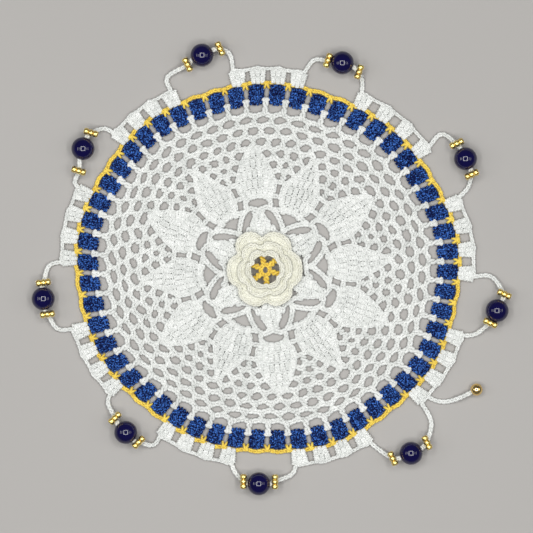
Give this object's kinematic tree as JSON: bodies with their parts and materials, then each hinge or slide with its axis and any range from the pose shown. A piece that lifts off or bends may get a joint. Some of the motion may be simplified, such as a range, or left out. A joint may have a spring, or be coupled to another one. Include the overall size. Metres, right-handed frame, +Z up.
{
  "type": "crochet jug cover",
  "caption": "Round white crochet jug cover with a raised rose, blue and yellow rounds, and cord loops round the rim that carry navy beads between gold seed beads.",
  "frame": {"origin": "under the middle of the whole cover's box, on the surface that it lies on", "axes": "+Z up from the surface, +X to the right and +Y to the top of the cover as it lies, seen from above; X is the longer way across"},
  "size_m": [0.2126, 0.201, 0.0099],
  "materials": {
    "white_cotton": "matte mercerised cotton yarn, cool white",
    "cream_cotton": "matte cotton yarn, warm cream",
    "yellow_cotton": "matte cotton yarn, golden yellow",
    "blue_cotton": "cotton yarn with a soft lustre, royal blue",
    "navy_glass": "glossy opaque navy glass",
    "gold_bead": "shiny gold-coloured seed beads",
    "gold_metal": "polished gold-coloured metal"
  },
  "bodies": {
    "root": {"lace_ground": "white_cotton", "blue_round": "blue_cotton", "yellow_round": "yellow_cotton", "white_edging": "white_cotton", "rose_centre": "yellow_cotton", "rose_outer_petals": "cream_cotton", "rose_middle_petals": "cream_cotton", "rose_inner_petals": "cream_cotton", "navy_bead_1": "navy_glass", "gold_seeds_1_right": "gold_bead", "gold_seeds_1_left": "gold_bead", "navy_bead_2": "navy_glass", "gold_seeds_2_right": "gold_bead", "gold_seeds_2_left": "gold_bead", "navy_bead_3": "navy_glass", "gold_seeds_3_right": "gold_bead", "gold_seeds_3_left": "gold_bead", "navy_bead_4": "navy_glass", "gold_seeds_4_right": "gold_bead", "gold_seeds_4_left": "gold_bead", "navy_bead_5": "navy_glass", "gold_seeds_5_right": "gold_bead", "gold_seeds_5_left": "gold_bead", "navy_bead_6": "navy_glass", "gold_seeds_6_right": "gold_bead", "gold_seeds_6_left": "gold_bead", "navy_bead_7": "navy_glass", "gold_seeds_7_right": "gold_bead", "gold_seeds_7_left": "gold_bead", "navy_bead_8": "navy_glass", "gold_seeds_8_right": "gold_bead", "gold_seeds_8_left": "gold_bead", "navy_bead_9": "navy_glass", "gold_seeds_9_right": "gold_bead", "gold_seeds_9_left": "gold_bead", "gold_ball": "gold_metal"}
  },
  "joints": []
}
